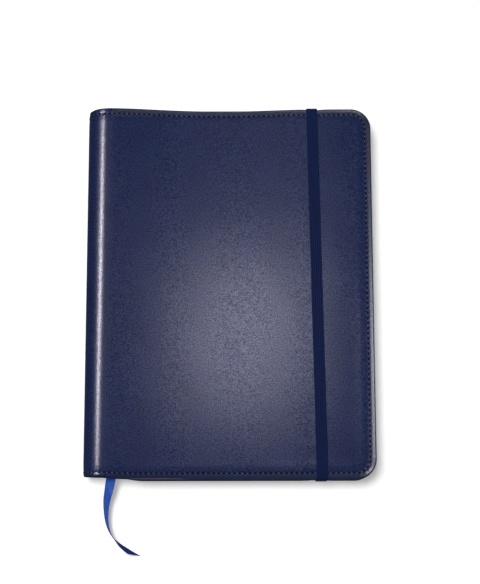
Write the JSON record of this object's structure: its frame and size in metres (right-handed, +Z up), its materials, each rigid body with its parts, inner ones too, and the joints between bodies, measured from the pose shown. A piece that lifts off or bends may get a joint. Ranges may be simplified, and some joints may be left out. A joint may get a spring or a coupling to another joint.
{
  "type": "pilot logbook",
  "caption": "Sewn hardbound logbook in a soft stitched leather cover, with a rounded spine, an elastic closure band and a ribbon bookmark.",
  "frame": {"origin": "middle of the closed book's lower face, under the back cover, at the surface it lies on", "axes": "+X from the spine to the fore-edge, +Y up the page from tail to head, +Z up through the closed book"},
  "size_m": [0.176, 0.2764, 0.0221],
  "materials": {
    "cover_leather": "smooth dark navy leather with a fine grain and a soft sheen",
    "lining_leather": "plain navy lining leather",
    "seam_thread": "tight dark navy sewing thread",
    "board": "grey board",
    "endpaper": "plain cream endpaper",
    "pages": "uncoated off-white paper, ruled inside",
    "mull_cloth": "open white cloth",
    "headband_cloth": "blue and white striped cloth bead",
    "ribbon_satin": "royal blue satin",
    "elastic_weave": "ribbed woven elastic"
  },
  "bodies": {
    "back_cover": {"back_leather": "cover_leather", "back_seam": "seam_thread", "back_stiffener": "board", "back_lining": "lining_leather", "back_book_board": "board", "back_endpaper": "endpaper", "back_flap": "lining_leather", "elastic_anchor_top": "elastic_weave", "elastic_anchor_bottom": "elastic_weave"},
    "spine": {"spine_leather": "cover_leather", "spine_seam": "seam_thread", "spine_board": "board", "spine_mull": "mull_cloth", "headband_top": "headband_cloth", "headband_tail": "headband_cloth"},
    "front_cover": {"front_leather": "cover_leather", "front_seam": "seam_thread", "front_stiffener": "board", "front_lining": "lining_leather", "front_book_board": "board", "front_endpaper": "endpaper", "front_flap": "lining_leather"},
    "section_1": {"signature_1": "pages"},
    "section_2": {"signature_2": "pages"},
    "section_3": {"signature_3": "pages"},
    "section_4": {"signature_4": "pages"},
    "section_5": {"signature_5": "pages", "ribbon_in_pages": "ribbon_satin", "ribbon_tail": "ribbon_satin"},
    "section_6": {"signature_6": "pages"},
    "section_7": {"signature_7": "pages"},
    "section_8": {"signature_8": "pages"},
    "elastic": {"elastic_band": "elastic_weave"}
  },
  "joints": [
    {"name": "spine_hinge", "type": "hinge", "parent": "back_cover", "child": "spine", "pos_m": [-0.076, 0, 0.0006], "axis": [0, -1, 0], "range_deg": [0, 90], "deforming": ["spine_leather", "spine_seam"]},
    {"name": "front_cover_hinge", "type": "hinge", "parent": "spine", "child": "front_cover", "pos_m": [-0.076, 0, 0.0204], "axis": [0, -1, 0], "range_deg": [0, 90]},
    {"name": "section_1_slide", "type": "slide", "parent": "front_cover", "child": "section_1", "axis": [-1, 0, 0], "range_m": [0, 0.00565]},
    {"name": "section_2_slide", "type": "slide", "parent": "front_cover", "child": "section_2", "axis": [-1, 0, 0], "range_m": [0, 0.00708]},
    {"name": "section_3_slide", "type": "slide", "parent": "front_cover", "child": "section_3", "axis": [-1, 0, 0], "range_m": [0, 0.00851]},
    {"name": "section_4_slide", "type": "slide", "parent": "front_cover", "child": "section_4", "axis": [-1, 0, 0], "range_m": [0, 0.00994]},
    {"name": "section_5_slide", "type": "slide", "parent": "back_cover", "child": "section_5", "axis": [-1, 0, 0], "range_m": [0, 0.00994]},
    {"name": "section_6_slide", "type": "slide", "parent": "back_cover", "child": "section_6", "axis": [-1, 0, 0], "range_m": [0, 0.00851]},
    {"name": "section_7_slide", "type": "slide", "parent": "back_cover", "child": "section_7", "axis": [-1, 0, 0], "range_m": [0, 0.00708]},
    {"name": "section_8_slide", "type": "slide", "parent": "back_cover", "child": "section_8", "axis": [-1, 0, 0], "range_m": [0, 0.00565]},
    {"name": "elastic_release", "type": "hinge", "parent": "back_cover", "child": "elastic", "pos_m": [0.0535, 0, 0.0025], "axis": [0, 1, 0], "range_deg": [0, 180], "deforming": ["elastic_band"]}
  ],
  "couplings": [
    {"joint": "spine_hinge", "follows": "front_cover_hinge", "ratio": 1},
    {"joint": "section_1_slide", "follows": "front_cover_hinge", "m_per_rad": 0.00359},
    {"joint": "section_2_slide", "follows": "front_cover_hinge", "m_per_rad": 0.0045},
    {"joint": "section_3_slide", "follows": "front_cover_hinge", "m_per_rad": 0.00541},
    {"joint": "section_4_slide", "follows": "front_cover_hinge", "m_per_rad": 0.00632},
    {"joint": "section_5_slide", "follows": "front_cover_hinge", "m_per_rad": 0.00632},
    {"joint": "section_6_slide", "follows": "front_cover_hinge", "m_per_rad": 0.00541},
    {"joint": "section_7_slide", "follows": "front_cover_hinge", "m_per_rad": 0.0045},
    {"joint": "section_8_slide", "follows": "front_cover_hinge", "m_per_rad": 0.00359},
    {"joint": "elastic_release", "follows": "front_cover_hinge", "ratio": 2}
  ]
}
